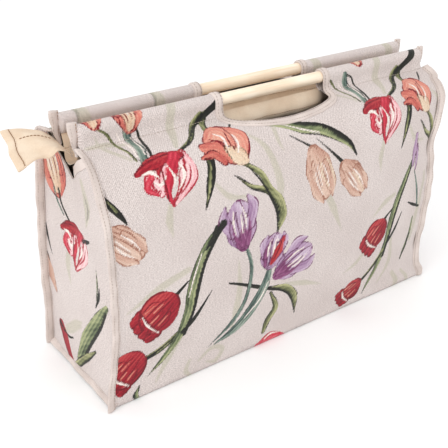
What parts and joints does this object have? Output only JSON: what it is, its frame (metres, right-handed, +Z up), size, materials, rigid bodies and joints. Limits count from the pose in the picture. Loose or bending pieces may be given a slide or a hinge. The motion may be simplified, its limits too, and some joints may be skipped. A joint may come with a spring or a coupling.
{
  "type": "knitting bag",
  "caption": "Tapestry knitting bag with folding gussets, stiffened base, wooden dowel handles in sleeves with hand notches, and a recessed zip closing.",
  "frame": {"origin": "middle of the underside of the base, on the surface that the bag stands on", "axes": "+X along the bag and its handles to the right, -Y towards the front, +Z up"},
  "size_m": [0.498, 0.1554, 0.2794],
  "materials": {
    "tulip_tapestry": "woven tapestry, off-white ground with tulips in red, coral, peach and lilac",
    "twill_binding": "beige twill tape, double stitched",
    "cream_cotton": "plain cream cotton, matte",
    "dark_lining": "dark plain lining, matte",
    "zip_tape": "woven cream zip tape",
    "zip_teeth": "cream nylon teeth",
    "zip_metal": "satin nickel",
    "birch": "pale turned birch, unvarnished",
    "stiffener_board": "grey board"
  },
  "bodies": {
    "base": {"base_panel": "tulip_tapestry", "base_board": "stiffener_board", "base_lining": "dark_lining", "left_gusset": "tulip_tapestry", "right_gusset": "tulip_tapestry", "left_gusset_lining": "dark_lining", "right_gusset_lining": "dark_lining", "left_gusset_hem": "twill_binding", "right_gusset_hem": "twill_binding", "left_base_binding": "twill_binding", "right_base_binding": "twill_binding"},
    "front_side": {"front_panel": "tulip_tapestry", "front_lining": "dark_lining", "front_notch_binding": "twill_binding", "front_left_seam_binding": "twill_binding", "front_right_seam_binding": "twill_binding", "front_left_end_binding": "twill_binding", "front_right_end_binding": "twill_binding", "front_zip_cloth": "cream_cotton", "front_zip_tape": "zip_tape", "front_zip_coil": "zip_teeth"},
    "back_side": {"back_panel": "tulip_tapestry", "back_lining": "dark_lining", "back_notch_binding": "twill_binding", "back_left_seam_binding": "twill_binding", "back_right_seam_binding": "twill_binding", "back_left_end_binding": "twill_binding", "back_right_end_binding": "twill_binding", "back_zip_cloth": "cream_cotton", "back_zip_tape": "zip_tape", "back_zip_coil": "zip_teeth", "zip_stops": "zip_metal", "zip_tail": "cream_cotton", "zip_tail_hem": "cream_cotton"},
    "front_dowel": {"front_dowel": "birch"},
    "back_dowel": {"back_dowel": "birch"},
    "zip_slider": {"zip_slider": "zip_metal"},
    "zip_pull": {"zip_pull": "zip_metal"}
  },
  "joints": [
    {"name": "front_side_open", "type": "hinge", "parent": "base", "child": "front_side", "pos_m": [0, -0.066, 0.0038], "axis": [1, 0, 0], "range_deg": [0, 10]},
    {"name": "back_side_open", "type": "hinge", "parent": "base", "child": "back_side", "pos_m": [0, 0.066, 0.0038], "axis": [-1, 0, 0], "range_deg": [0, 10]},
    {"name": "front_dowel_turn", "type": "hinge", "parent": "front_side", "child": "front_dowel", "pos_m": [0, -0.017, 0.271], "axis": [1, 0, 0], "continuous": true},
    {"name": "back_dowel_turn", "type": "hinge", "parent": "back_side", "child": "back_dowel", "pos_m": [0, 0.017, 0.271], "axis": [1, 0, 0], "continuous": true},
    {"name": "zip_travel", "type": "slide", "parent": "front_side", "child": "zip_slider", "axis": [-1, 0, 0], "range_m": [0, 0.378]},
    {"name": "zip_pull_lift", "type": "hinge", "parent": "zip_slider", "child": "zip_pull", "pos_m": [0.1872, 0, 0.2366], "axis": [0, 1, 0], "range_deg": [0, 110]}
  ]
}
